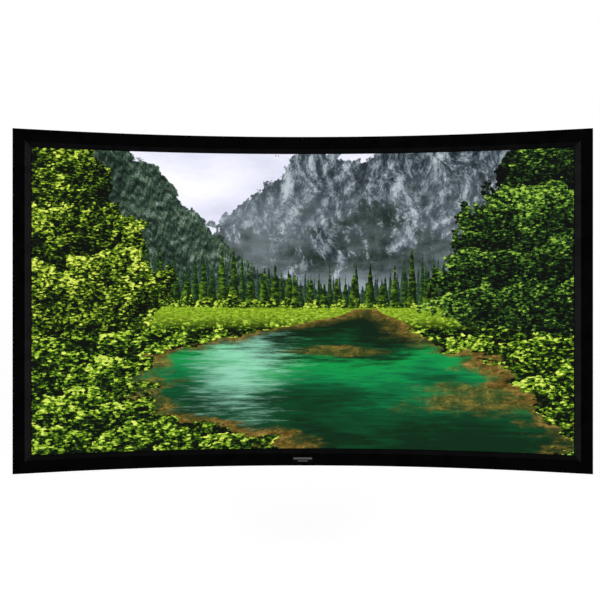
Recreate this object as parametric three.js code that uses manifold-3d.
// A curved, fixed frame projector screen for a wall. Four bent aluminium rails and two straight
// uprights, each wrapped in black velvet, are joined with elbow plates and splice bars that slide in
// their slots. A matte white fabric lies behind the frame's bevelled lip. Rods in its sleeves are
// pulled outwards by springs that hook on the frame's back lip.
//
// Millimetres, +X to the viewer's right, +Y towards the wall, +Z up, origin at the middle of the
// whole box. Most pieces are drawn as a section in two sizes: the inset from the frame's outer edge,
// and the depth behind the front of the fabric (so the face of the frame has a negative depth).

import * as THREE from "three";
import { mergeVertices } from "three/addons/utils/BufferGeometryUtils.js";
import Module from "manifold-3d";

const wasm = await Module();
wasm.setup();

// The picture area: a 120 inch diagonal at 16:9, measured along the curve.
const viewWidth = 2657;
const viewHeight = 1494;
// The curve of the fabric's front, made of flat chords; the last chord of each half runs on
// straight through the corner. The centre of the curve is on the viewer's side.
const curveRadius = 5400;
const chordsPerHalf = 9;

// The frame's section.
const faceFlat = 59;
const bevelWidth = 27;
const bevelDepth = 12;
const frameDepth = 40;
const edgeRadius = 2.5;
const wallThickness = 2;
const velvetThickness = 0.8;
const velvetBackMargin = 4;
// The slot behind the face that takes the elbow plates and splice bars.
const slotInset = 16;
const slotWidth = 26;
const slotDepth = 9;
const slotMouth = 16;
// The flange at the back with the lip that the springs and the wall brackets hook on.
const flangeReach = 14;
const lipDepth = 10;

// Clearances, and how far a cutting shape runs past what it cuts.
const gap = 0.3;
const mitreGap = 0.22;
const overcut = 1;

// The fabric, its sleeves, the rods in them and the springs.
const fabricThickness = 0.5;
const rodDiameter = 5;
const rodOutset = 23;
const rodSides = 8;
const sleeveWindow = 16;
const sleeveSeam = 14;
const seamWidth = 5;
const edgeMargin = 6;
const sidePitches = 10;
const wireThickness = 1.2;
const coilDiameter = 8;
const coilLength = 28;
const hookDrop = 4;

// Elbow plates, splice bars and their set screws.
const plateThickness = 4;
const elbowLeg = 104;
const elbowChamfer = 6;
const spliceLength = 200;
const screwDiameter = 5;
const setScrewLength = 8;
const screwSpacing = 45;
const screwEndMargin = 14;
const hexKey = 2.5;
const setScrewSocket = 2.6;
const screwSides = 8;

// The upright bar behind the middle of the fabric, and the stepped feet that carry it.
const barWidth = 40;
const barDepth = 10;
const barWall = 1.5;
const barEndInset = 50;
const footWidth = 30;
const footThickness = 2;
const footReach = 84;
const rodToFoot = 1.6;
const headDiameter = 9;
const headHeight = 2.6;
const headCrown = 1.3;
const headSocket = 1.6;
const barScrewInset = 72;

// Wall brackets.
const bracketChord = 3;
const bracketWidth = 90;
const bracketHeight = 60;
const bracketSheet = 2;
const hookTipHeight = 6;
const hookTipRun = 2;
const screwSlotWidth = 6;
const screwSlotLength = 16;
const screwSlotSpacing = 54;
const screwSlotSteps = 4;
const wallClearance = 8;

// The plain badge on the bottom rail.
const badgeInset = 17;
const badgeMargin = 5;
const badgeThickness = 0.8;
const badgeRaise = 0.6;
const longBarLength = 94;
const longBarHeight = 8.5;
const shortBarLength = 50;
const shortBarHeight = 4.5;
const barSpacing = 6;

// Sizes that follow from those.
const border = faceFlat + bevelWidth;
const halfWidth = viewWidth / 2 + border;
const halfHeight = viewHeight / 2 + border;
const pitch = viewWidth / 2 / chordsPerHalf;
const chordAngle = pitch / curveRadius;
const tailAngle = (chordsPerHalf - 0.5) * chordAngle;
const face = -bevelDepth;
const back = face + frameDepth;
const bevelAngle = Math.atan2(bevelDepth, bevelWidth);
const frontWallBack = face + velvetThickness + gap + wallThickness;
const lipRim = back - lipDepth;
const slotBack = frontWallBack + slotDepth;
const plateBack = slotBack - gap;
const plateFront = plateBack - plateThickness;
const slotMiddle = slotInset + slotWidth / 2;
const fabricBack = gap + fabricThickness;
const rodInset = border - rodOutset;
const sleeveRadius = rodDiameter / 2 + gap + fabricThickness;
const rodDepth = gap + sleeveRadius;
const fabricInset = rodInset + sleeveRadius + gap;
const footBase = slotBack + wallThickness + gap;
const footShelf = rodDepth + sleeveRadius + rodToFoot;
const barFront = footShelf + footThickness + gap;
const barBack = barFront + barDepth;
const wallPlane = back + wallClearance;

// Materials.
const finishes = {
  velvet: [0x050505, 1.0, 0.0],
  aluminium: [0xb4b7ba, 0.42, 1.0],
  zincSteel: [0xa9adb0, 0.4, 1.0],
  blackScrew: [0x1b1b1d, 0.45, 0.8],
  fabric: [0xf2f2f0, 0.85, 0.0],
  fibreglass: [0xe6e3d8, 0.5, 0.0],
  bracket: [0x17181a, 0.6, 0.3],
  badge: [0xa8a9aa, 0.35, 0.8],
};
const materials = {};
for (const [name, [color, roughness, metalness]] of Object.entries(finishes))
  materials[name] = new THREE.MeshStandardMaterial({ name, color, roughness, metalness });

// The point of a section at a station, where two chords meet.
function stationPoint(station, depth) {
  const angle = station * chordAngle;
  const radius = curveRadius + depth;
  return new THREE.Vector2(radius * Math.sin(angle), radius * Math.cos(angle) - curveRadius);
}

// The station that a length along the curve falls on, if it falls on one.
function stationAt(length) {
  const along = Math.abs(length) / pitch;
  const nearest = Math.round(along);
  const tolerance = 1e-6;
  return Math.abs(along - nearest) < tolerance && nearest < chordsPerHalf ? nearest : undefined;
}

// The point at a length along the curve from the middle, and a depth behind the fabric's front.
function curvePoint(length, depth) {
  const along = Math.abs(length) / pitch;
  const station = stationAt(length);
  const chord = Math.floor(along);
  let point;
  if (station !== undefined) point = stationPoint(station, depth);
  else if (chord < chordsPerHalf - 1)
    point = stationPoint(chord, depth).lerp(stationPoint(chord + 1, depth), along - chord);
  else {
    const onTail = Math.abs(length) - (chordsPerHalf - 0.5) * pitch;
    point = stationPoint(chordsPerHalf - 1, 0).lerp(stationPoint(chordsPerHalf, 0), 0.5);
    point.x += onTail * Math.cos(tailAngle) + depth * Math.sin(tailAngle);
    point.y += depth * Math.cos(tailAngle) - onTail * Math.sin(tailAngle);
  }
  if (length < 0) point.x *= -1;
  return point;
}

// The turn of the frame at a length along the curve: a station's is halfway between its chords'.
function curveAngle(length) {
  const chord = Math.min(Math.floor(Math.abs(length) / pitch), chordsPerHalf - 1);
  return Math.sign(length) * (stationAt(length) ?? chord + 0.5) * chordAngle;
}

// A group whose own axes run along the curve, towards the wall and up, at a point of the frame.
function groupAt(length, height) {
  const group = new THREE.Group();
  const point = curvePoint(length, 0);
  group.position.set(point.x, point.y, height);
  group.rotation.z = -curveAngle(length);
  return group;
}

// A copy of a shape, set at a point of the frame.
function placeAt(geometry, length, height) {
  const group = groupAt(length, height);
  group.updateMatrix();
  return geometry.clone().applyMatrix4(group.matrix);
}

// Moves every vertex by a rule, then turns the faces outwards again if the rule mirrored them.
function reshape(geometry, rule) {
  const made = geometry.index ? geometry.toNonIndexed() : geometry.clone();
  const position = made.getAttribute("position");
  const corners = [0, 1, 2].map(() => new THREE.Vector3());
  let volume = 0;
  for (let i = 0; i < position.count; i += 3) {
    corners.forEach((corner, c) => {
      corner.fromBufferAttribute(position, i + c);
      rule(corner);
      position.setXYZ(i + c, corner.x, corner.y, corner.z);
    });
    volume += corners[0].dot(corners[1].clone().cross(corners[2]));
  }
  if (volume < 0)
    for (let i = 0; i < position.count; i += 3) {
      corners[1].fromBufferAttribute(position, i + 1);
      corners[2].fromBufferAttribute(position, i + 2);
      position.setXYZ(i + 1, corners[2].x, corners[2].y, corners[2].z);
      position.setXYZ(i + 2, corners[1].x, corners[1].y, corners[1].z);
    }
  made.computeVertexNormals();
  return made;
}

function toSolid(geometry) {
  const bare = geometry.clone();
  bare.deleteAttribute("normal");
  bare.deleteAttribute("uv");
  const weldDistance = 1e-4;
  const merged = mergeVertices(bare, weldDistance);
  return new wasm.Manifold(
    new wasm.Mesh({
      numProp: 3,
      vertProperties: merged.getAttribute("position").array,
      triVerts: new Uint32Array(merged.index.array),
    }),
  );
}

function toGeometry(solid) {
  const mesh = solid.getMesh();
  const geometry = new THREE.BufferGeometry();
  geometry.setAttribute("position", new THREE.BufferAttribute(mesh.vertProperties, 3));
  geometry.setIndex(new THREE.BufferAttribute(mesh.triVerts, 1));
  const faceted = geometry.toNonIndexed();
  faceted.computeVertexNormals();
  return faceted;
}

function join(first, ...others) {
  return toGeometry(others.reduce((solid, next) => solid.add(toSolid(next)), toSolid(first)));
}

function cut(first, ...tools) {
  return toGeometry(tools.reduce((solid, tool) => solid.subtract(toSolid(tool)), toSolid(first)));
}

function extrude(section, depth, steps = 1) {
  const shape = Array.isArray(section) ? new THREE.Shape(section) : section;
  return new THREE.ExtrudeGeometry(shape, { depth, steps, bevelEnabled: false });
}

const pointsOf = (pairs) => pairs.map(([x, y]) => new THREE.Vector2(x, y));

const rectangle = (x0, y0, x1, y1) => pointsOf([[x0, y0], [x1, y0], [x1, y1], [x0, y1]]);

// Sweeps a section of inset and depth along the top of the frame. A mitred end is cut at 45 degrees.
function alongTop(section, from, to, mitred = false) {
  const endMargin = mitred ? border : 1;
  const stops = [from];
  for (let station = 1 - chordsPerHalf; station < chordsPerHalf; station++)
    if (station * pitch > from + 1 && station * pitch < to - endMargin) stops.push(station * pitch);
  stops.push(to);
  const last = stops.length - 1;
  return reshape(extrude(section, last, last), (p) => {
    const stop = Math.round(p.z);
    const point = curvePoint(stops[stop] - (mitred && stop === last ? p.x : 0), p.y);
    p.set(point.x, point.y, halfHeight - p.x);
  });
}

// Sweeps a section of inset and depth up the right side of the frame.
function alongSide(section, from, to, mitred = false) {
  return reshape(extrude(section, 1), (p) => {
    const height = p.z < 0.5 ? from : to;
    const cutBack = mitred ? Math.sign(height) * p.x : 0;
    const point = curvePoint(halfWidth - p.x, p.y);
    p.set(point.x, point.y, height - cutBack);
  });
}

const flipX = (geometry) => reshape(geometry, (p) => p.setX(-p.x));
const flipZ = (geometry) => reshape(geometry, (p) => p.setZ(-p.z));

// A round bar along Y, from one depth to another, at an inset below the top of its group.
function post(diameter, sides, inset, from, to, across = 0) {
  const geometry = new THREE.CylinderGeometry(diameter / 2, diameter / 2, to - from, sides);
  return geometry.translate(across, (from + to) / 2, -inset);
}

// The line of the frame's face, bevel and outer side, at an offset inside the velvet's surface.
function faceLine(offset, backEdge) {
  const cornerSteps = 3;
  const radius = Math.max(edgeRadius - offset, 0);
  const line = [[offset, backEdge]];
  for (let step = 0; step <= (radius ? cornerSteps : 0); step++) {
    const turn = radius ? (step / cornerSteps) * (Math.PI / 2) : 0;
    line.push([
      offset + radius * (1 - Math.cos(turn)),
      face + offset + radius * (1 - Math.sin(turn)),
    ]);
  }
  line.push([faceFlat - offset * Math.tan(bevelAngle / 2), face + offset]);
  line.push([border - offset / Math.sin(bevelAngle), 0]);
  return pointsOf(line);
}

// The aluminium section, drawn round once: face and bevel, slot, outer wall, back flange and lip.
function railSection() {
  const outside = velvetThickness + gap;
  const inside = outside + wallThickness;
  const bevelBack = faceLine(inside, back).slice(-2).reverse();
  const slotEnd = slotInset + slotWidth;
  const mouthStart = slotMiddle - slotMouth / 2;
  const mouthEnd = slotMiddle + slotMouth / 2;
  const lipBack = slotBack + wallThickness;
  const slot = pointsOf([
    [slotEnd + wallThickness, frontWallBack],
    [slotEnd + wallThickness, lipBack],
    [mouthEnd, lipBack],
    [mouthEnd, slotBack],
    [slotEnd, slotBack],
    [slotEnd, frontWallBack],
    [slotInset, frontWallBack],
    [slotInset, slotBack],
    [mouthStart, slotBack],
    [mouthStart, lipBack],
    [slotInset - wallThickness, lipBack],
    [slotInset - wallThickness, frontWallBack],
  ]);
  const flange = pointsOf([
    [inside, frontWallBack],
    [inside, back - wallThickness],
    [flangeReach - wallThickness, back - wallThickness],
    [flangeReach - wallThickness, lipRim],
    [flangeReach, lipRim],
    [flangeReach, back],
  ]);
  return [...faceLine(outside, back), ...bevelBack, ...slot, ...flange];
}

function velvetSection() {
  const edge = back - velvetBackMargin;
  return [...faceLine(0, edge), ...faceLine(velvetThickness, edge).reverse()];
}

// A sleeve of the fabric: it comes round the rod and is welded flat to the fabric's back. It is
// drawn a hair inside the fabric where the two are one.
function sleeveSection() {
  const skin = 0.05;
  const step = (2 * Math.PI) / rodSides;
  const roundRod = (reach) => {
    const line = [];
    for (let turn = step / 2; turn < Math.PI + step; turn += step) {
      const radius = reach / Math.cos(step / 2);
      line.push([rodInset - radius * Math.sin(turn), rodDepth - radius * Math.cos(turn)]);
    }
    return line;
  };
  const seamStart = rodInset + sleeveSeam - seamWidth;
  const seamEnd = rodInset + sleeveSeam;
  const section = new THREE.Shape(
    pointsOf([
      ...roundRod(sleeveRadius - skin),
      [seamStart, fabricBack + fabricThickness],
      [seamEnd, fabricBack + fabricThickness],
      [seamEnd, gap + skin],
    ]).reverse(),
  );
  const inside = roundRod(sleeveRadius - fabricThickness + skin);
  section.holes.push(new THREE.Path(pointsOf([...inside, [seamStart, fabricBack - skin]])));
  return section;
}

// Where the springs are: at each station of the top and bottom but the middle one, where the
// support bar stands, and evenly up the sides.
const topSprings = [];
for (let station = 1 - chordsPerHalf; station < chordsPerHalf; station++)
  if (station !== 0) topSprings.push(station * pitch);
const sideSprings = [];
for (let step = 1; step < sidePitches; step++)
  sideSprings.push((step * viewHeight) / sidePitches - viewHeight / 2);

// The fabric with its sleeves, which leave a window at each spring.
function fabricGeometry() {
  const halfSpan = halfWidth - fabricInset;
  const halfRise = halfHeight - fabricInset;
  const sheet = alongTop(
    rectangle(fabricInset, gap, fabricInset + 2 * halfRise, fabricBack),
    -halfSpan,
    halfSpan,
  );
  const sleeves = [];
  const sleeve = sleeveSection();
  const trim = sleeveWindow / 2;
  const between = (springs, end, sweep) => {
    const starts = [-end + edgeMargin, ...springs.map((spring) => spring + trim)];
    const ends = [...springs.map((spring) => spring - trim), end - edgeMargin];
    return starts.map((start, i) => sweep(sleeve, start, ends[i]));
  };
  for (const made of between(topSprings, viewWidth / 2, alongTop)) sleeves.push(made, flipZ(made));
  for (const made of between(sideSprings, viewHeight / 2, alongSide))
    sleeves.push(made, flipX(made));
  return join(sheet, ...sleeves);
}

// A wire bent along a line of points, with mitred corners, and as thick as it is wide.
function bentWire(line) {
  const half = wireThickness / 2;
  const edge = (side) =>
    line.map((point, i) => {
      const before = i > 0 ? point.clone().sub(line[i - 1]).normalize() : null;
      const after = i < line.length - 1 ? line[i + 1].clone().sub(point).normalize() : null;
      const along = (before ?? after).clone().add(after ?? before).normalize();
      const normal = new THREE.Vector2(-along.y, along.x);
      const stretch = half / Math.abs(along.dot(before ?? after));
      return point.clone().addScaledVector(normal, side * stretch);
    });
  return [...edge(1), ...edge(-1).reverse()];
}

// One spring, at the top of its own group: across the curve, towards the wall and up.
function springGeometry() {
  const reach = wireThickness / 2 + gap;
  const hookInset = flangeReach - wallThickness - reach;
  const hookDepth = lipRim - reach;
  const hook = new THREE.Vector2(hookInset, hookDepth);
  const rod = new THREE.Vector2(rodInset, rodDepth);
  const tip = new THREE.Vector2(hookInset, lipRim + hookDrop);
  const stand = (p) => p.set(p.z - wireThickness / 2, p.y, -p.x);
  const wire = reshape(extrude(bentWire([rod, hook, tip]), wireThickness), stand);
  const middle = rod.clone().lerp(hook, 0.5);
  const slope = Math.atan2(hook.y - rod.y, rod.x - hook.x);
  const coil = new THREE.CylinderGeometry(coilDiameter / 2, coilDiameter / 2, coilLength, 6);
  coil.rotateX(Math.PI / 2 + slope);
  coil.translate(0, middle.y, -middle.x);
  return join(wire, coil);
}

function rodSection() {
  const points = [];
  for (let side = 0; side < rodSides; side++) {
    const turn = (side / rodSides) * 2 * Math.PI;
    points.push([
      rodInset + (rodDiameter / 2) * Math.cos(turn),
      rodDepth + (rodDiameter / 2) * Math.sin(turn),
    ]);
  }
  return pointsOf(points);
}

// A tension rod with the springs that are hooked on it.
function topRodGeometry() {
  const spring = springGeometry();
  const springs = topSprings.map((length) => placeAt(spring, length, halfHeight));
  return join(alongTop(rodSection(), -viewWidth / 2, viewWidth / 2), ...springs);
}

function sideRodGeometry() {
  const spring = springGeometry().rotateY(Math.PI / 2);
  const springs = sideSprings.map((height) => spring.clone().translate(0, 0, height));
  const rod = extrude(rodSection(), viewHeight).translate(0, 0, -viewHeight / 2);
  return placeAt(join(reshape(rod, (p) => p.setX(-p.x)), ...springs), halfWidth, 0);
}

function hexSocket(top, depth) {
  return post(hexKey / Math.cos(Math.PI / 6), 6, 0, top - depth, top + overcut);
}

// A set screw with a hexagon socket, lying along Y at the middle of a tapped plate.
function setScrewGeometry() {
  const end = plateBack - gap;
  const body = post(screwDiameter, screwSides, 0, end - setScrewLength, end);
  return cut(body, hexSocket(end, setScrewSocket));
}

// A button head screw along Y, with its head towards the wall.
function headedScrewGeometry(tip, underHead) {
  const top = underHead + headHeight;
  const profile = pointsOf([
    [0, tip],
    [screwDiameter / 2, tip],
    [screwDiameter / 2, underHead],
    [headDiameter / 2, underHead],
    [headDiameter / 2, top - headCrown],
    [headDiameter / 2 - headCrown, top],
    [0, top],
  ]);
  return cut(new THREE.LatheGeometry(profile, screwSides), hexSocket(top, headSocket));
}

const holeDiameter = screwDiameter + (2 * gap) / Math.cos(Math.PI / screwSides);

// Insets of the two set screws in one leg of an elbow plate.
const elbowStart = slotInset + gap;
const elbowEnd = elbowStart + elbowLeg;
const elbowScrews = [elbowEnd - screwEndMargin - screwSpacing, elbowEnd - screwEndMargin];
const spliceScrews = [
  spliceLength / 2 - screwEndMargin - screwSpacing,
  spliceLength / 2 - screwEndMargin,
];

// The elbow plate, in a group at the frame's outer corner.
function elbowGeometry() {
  const inner = slotInset + slotWidth - gap;
  const outline = pointsOf([
    [elbowStart + elbowChamfer, elbowStart],
    [elbowEnd, elbowStart],
    [elbowEnd, inner],
    [inner, inner],
    [inner, elbowEnd],
    [elbowStart, elbowEnd],
    [elbowStart, elbowStart + elbowChamfer],
  ]);
  const plate = reshape(extrude(outline, plateThickness), (p) =>
    p.set(-p.x, plateFront + p.z, -p.y),
  );
  const hole = (across, down) =>
    post(holeDiameter, screwSides, down, plateFront - overcut, plateBack + overcut, -across);
  return cut(
    plate,
    ...elbowScrews.map((inset) => hole(inset, slotMiddle)),
    ...elbowScrews.map((inset) => hole(slotMiddle, inset)),
  );
}

// The splice bar across the middle joint, bent with the rails it joins.
function spliceGeometry() {
  const section = rectangle(elbowStart, plateFront, slotInset + slotWidth - gap, plateBack);
  const bar = alongTop(section, -spliceLength / 2, spliceLength / 2);
  const [front, rear] = [plateFront - overcut, plateBack + overcut];
  const hole = post(holeDiameter, screwSides, slotMiddle, front, rear);
  const lengths = [0, ...spliceScrews, ...spliceScrews.map((length) => -length)];
  return cut(bar, ...lengths.map((length) => placeAt(hole, length, halfHeight)));
}

// The support bar's foot: a strip stepped over the tension rod, in a group at the top middle.
function footGeometry() {
  const start = slotInset - wallThickness;
  const riser = slotInset + slotWidth + wallThickness;
  const outline = pointsOf([
    [start, footBase],
    [riser, footBase],
    [riser, footShelf],
    [footReach, footShelf],
    [footReach, footShelf + footThickness],
    [riser - footThickness, footShelf + footThickness],
    [riser - footThickness, footBase + footThickness],
    [start, footBase + footThickness],
  ]);
  const strip = reshape(extrude(outline, footWidth), (p) =>
    p.set(p.z - footWidth / 2, p.y, -p.x),
  );
  const hole = (inset, front) =>
    post(holeDiameter, screwSides, inset, front - overcut, front + footThickness + overcut);
  return cut(strip, hole(slotMiddle, footBase), hole(barScrewInset, footShelf));
}

function barGeometry() {
  const length = 2 * (halfHeight - barEndInset);
  const inner = barWidth / 2 - barWall;
  const tube = new THREE.Shape(rectangle(-barWidth / 2, barFront, barWidth / 2, barBack));
  tube.holes.push(
    new THREE.Path(rectangle(-inner, barFront + barWall, inner, barBack - barWall)),
  );
  const blank = extrude(tube, length).translate(0, 0, -length / 2);
  const rise = halfHeight - barScrewInset;
  const hole = post(holeDiameter, screwSides, 0, barFront - overcut, barBack + overcut);
  return cut(blank, hole.clone().translate(0, 0, rise), hole.clone().translate(0, 0, -rise));
}

// A wall bracket: a slotted plate on the wall, an arm cut to the curve, and an upturned tip.
function bracketGeometry() {
  const armTop = halfHeight - flangeReach - gap;
  const armLow = armTop - bracketSheet;
  const tipBack = lipRim - hookTipRun;
  const tipFront = tipBack - bracketSheet;
  const middle = (bracketChord + 0.5) * pitch;
  const [from, to] = [middle - bracketWidth / 2, middle + bracketWidth / 2];
  const [start, end] = [curvePoint(from, tipFront), curvePoint(to, tipFront)];
  const upright = (outline, low, high) => extrude(outline, high - low).translate(0, 0, low);
  const wallEdge = pointsOf([[end.x, wallPlane], [start.x, wallPlane]]);
  const arm = upright([start, end, ...wallEdge], armLow, armTop);
  const tipOutline = [start, end, curvePoint(to, tipBack), curvePoint(from, tipBack)];
  const tip = upright(tipOutline, armLow + bracketSheet / 2, armTop + hookTipHeight);
  const plate = new THREE.Shape(
    rectangle(start.x, armTop - bracketHeight, end.x, armTop - bracketSheet / 2),
  );
  const run = (screwSlotLength - screwSlotWidth) / 2;
  const slotHeight = armTop - bracketHeight / 2;
  for (const side of [-1, 1]) {
    const slot = new THREE.Path();
    const across = (start.x + end.x + side * screwSlotSpacing) / 2;
    slot.absarc(across, slotHeight + run, screwSlotWidth / 2, 0, Math.PI, false);
    slot.absarc(across, slotHeight - run, screwSlotWidth / 2, Math.PI, 2 * Math.PI, false);
    slot.closePath();
    plate.holes.push(new THREE.Path(slot.getPoints(screwSlotSteps)));
  }
  const wallPlate = reshape(extrude(plate, bracketSheet), (p) =>
    p.set(p.x, wallPlane - p.z, p.y),
  );
  return join(wallPlate, arm, tip);
}

// The badge: a thin dark plate that follows the face, with a long and a short plain bar.
function badgeGeometry() {
  const seat = face - gap;
  const strip = (length, inset, height, thickness) =>
    alongTop(rectangle(inset, seat - thickness, inset + height, seat), -length / 2, length / 2);
  const raised = badgeThickness + badgeRaise;
  const shortInset = badgeInset + badgeMargin;
  const longInset = shortInset + shortBarHeight + barSpacing;
  const plateHeight = longInset + longBarHeight + badgeMargin - badgeInset;
  return join(
    strip(longBarLength + 2 * badgeMargin, badgeInset, plateHeight, badgeThickness),
    strip(longBarLength, longInset, longBarHeight, raised),
    strip(shortBarLength, shortInset, shortBarHeight, raised),
  );
}

// The assembly.
const screen = new THREE.Group();
const frame = new THREE.Group();
screen.add(frame);

function add(parent, name, geometry, material) {
  const mesh = new THREE.Mesh(geometry, material);
  mesh.name = name;
  parent.add(mesh);
  return mesh;
}

const levels = { top: 1, bottom: -1 };
const sides = { right: 1, left: -1 };

const halfRail = alongTop(railSection(), mitreGap, halfWidth - mitreGap, true);
const halfVelvet = alongTop(velvetSection(), mitreGap, halfWidth - mitreGap, true);
const mitreHeight = halfHeight - mitreGap;
const upright = alongSide(railSection(), -mitreHeight, mitreHeight, true);
const uprightVelvet = alongSide(velvetSection(), -mitreHeight, mitreHeight, true);
const elbow = elbowGeometry();
const setScrew = setScrewGeometry();
const splice = spliceGeometry();
const topRod = topRodGeometry();
const sideRod = sideRodGeometry();
const foot = footGeometry();
const bracket = bracketGeometry();
const footScrew = headedScrewGeometry(plateFront + gap, footBase + footThickness + gap);
const barScrew = headedScrewGeometry(footShelf, barBack + gap);

for (const [level, up] of Object.entries(levels)) {
  for (const [side, out] of Object.entries(sides)) {
    const quarter = new THREE.Group();
    quarter.scale.set(out, 1, up);
    frame.add(quarter);
    add(quarter, `${level}_rail_${side}`, halfRail, materials.aluminium);
    add(quarter, `${level}_rail_velvet_${side}`, halfVelvet, materials.velvet);
    add(quarter, `wall_bracket_${level}_${side}`, bracket, materials.bracket);
    const corner = groupAt(halfWidth, halfHeight);
    quarter.add(corner);
    add(corner, `elbow_plate_${level}_${side}`, elbow, materials.zincSteel);
    elbowScrews.forEach((inset, i) => {
      const addScrew = (leg) =>
        add(corner, `${leg}_set_screw_${level}_${side}_${i + 1}`, setScrew, materials.blackScrew);
      addScrew("rail").position.set(-inset, 0, -slotMiddle);
      addScrew("upright").position.set(-slotMiddle, 0, -inset);
    });
    spliceScrews.forEach((length, i) => {
      const seat = groupAt(length, halfHeight - slotMiddle);
      quarter.add(seat);
      add(seat, `splice_set_screw_${level}_${side}_${i + 1}`, setScrew, materials.blackScrew);
    });
  }
  const half = new THREE.Group();
  half.scale.z = up;
  frame.add(half);
  add(half, `${level}_splice_bar`, splice, materials.zincSteel);
  add(half, `${level}_tension_rod`, topRod, materials.fibreglass);
  const middle = groupAt(0, halfHeight);
  half.add(middle);
  add(middle, `${level}_bar_foot`, foot, materials.zincSteel);
  add(middle, `${level}_foot_screw`, footScrew, materials.blackScrew).position.z = -slotMiddle;
  add(middle, `${level}_bar_screw`, barScrew, materials.blackScrew).position.z = -barScrewInset;
}

for (const [side, out] of Object.entries(sides)) {
  const half = new THREE.Group();
  half.scale.x = out;
  frame.add(half);
  add(half, `${side}_upright`, upright, materials.aluminium);
  add(half, `${side}_upright_velvet`, uprightVelvet, materials.velvet);
  add(half, `${side}_tension_rod`, sideRod, materials.fibreglass);
}

add(frame, "screen_fabric", fabricGeometry(), materials.fabric);
add(frame, "support_bar", barGeometry(), materials.aluminium);
add(frame, "badge", flipZ(badgeGeometry()), materials.badge);

// The middle of the whole box goes to the origin.
const middle = new THREE.Box3().setFromObject(frame).getCenter(new THREE.Vector3());
frame.position.sub(middle);

export default screen;
